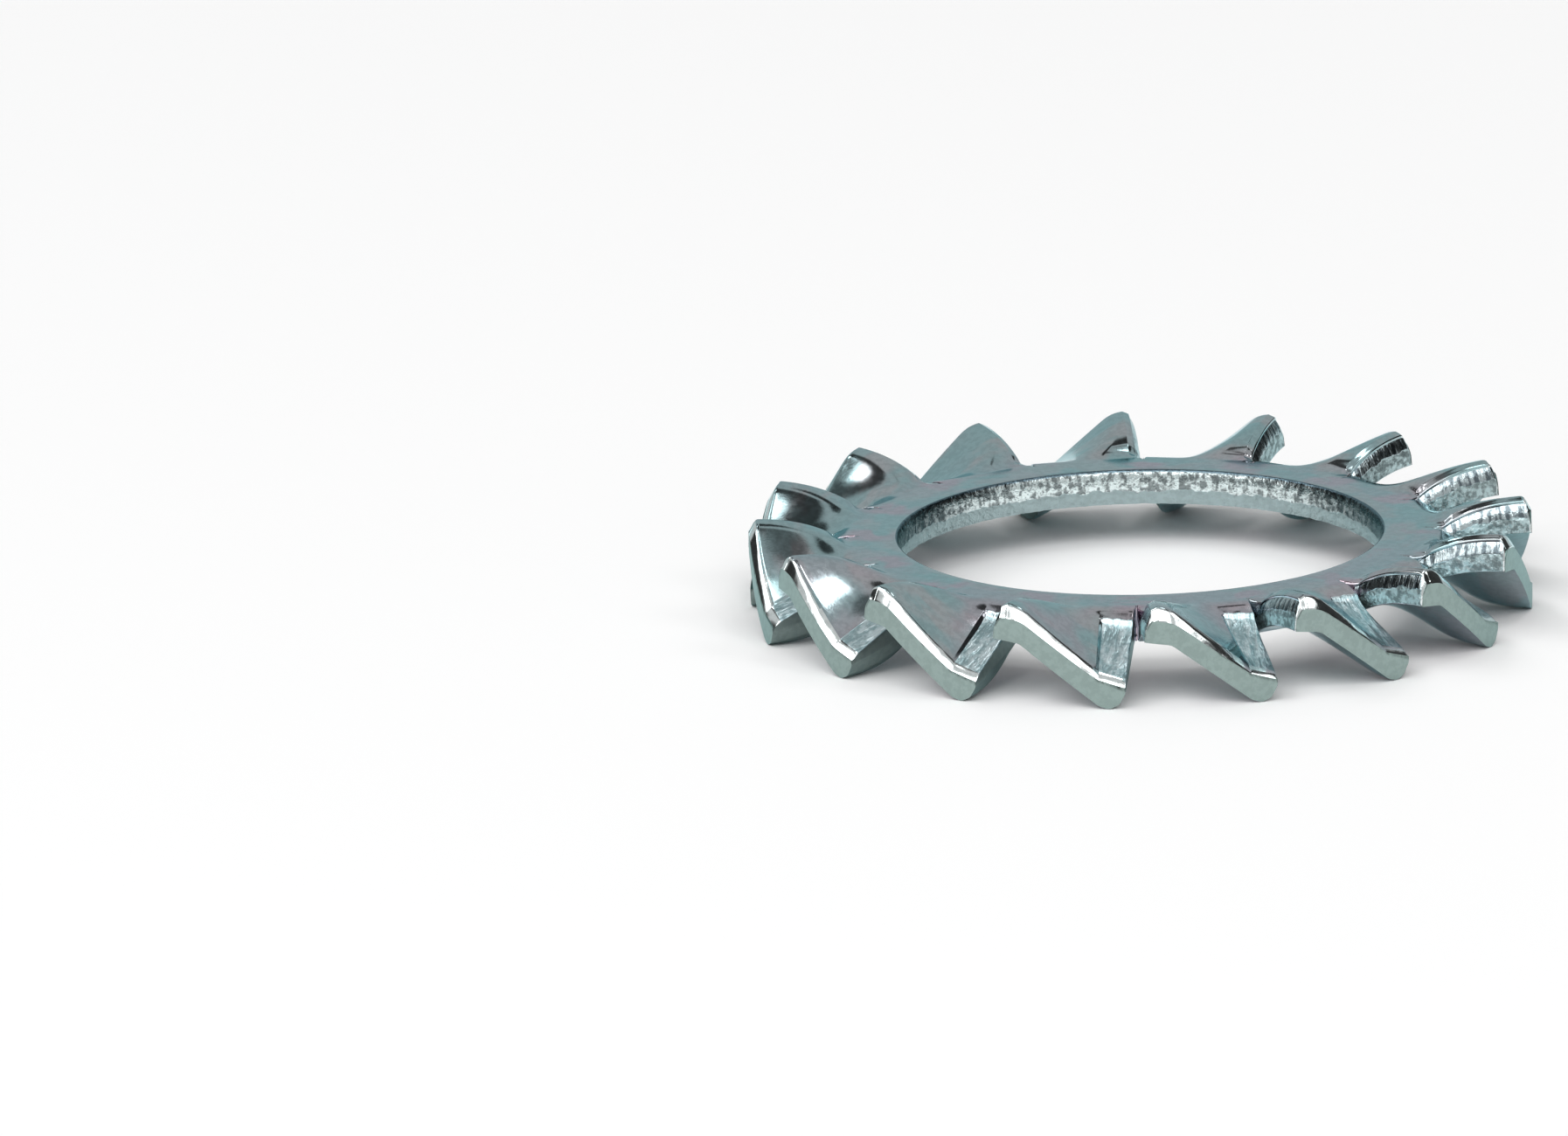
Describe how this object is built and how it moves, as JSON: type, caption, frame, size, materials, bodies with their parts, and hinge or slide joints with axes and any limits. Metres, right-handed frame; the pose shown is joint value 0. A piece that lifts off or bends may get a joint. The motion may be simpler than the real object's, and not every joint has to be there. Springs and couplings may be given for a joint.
{
  "type": "toothed lock washer",
  "caption": "Flat steel ring with twisted teeth around its outer edge that bite under a nut or bolt head and keep it from turning.",
  "frame": {"origin": "centre of the bore, halfway through the sheet of the flat ring", "axes": "+Z along the bore axis, towards the side where the teeth's clockwise edges are raised; the middle of one tooth points along +X"},
  "size_m": [0.0206, 0.0206, 0.0027],
  "materials": {
    "zinc_plated_steel": "satin blue-white zinc plate on spring steel, with faint pink and green tints"
  },
  "bodies": {
    "root": {"lock_washer": "zinc_plated_steel"}
  },
  "joints": []
}
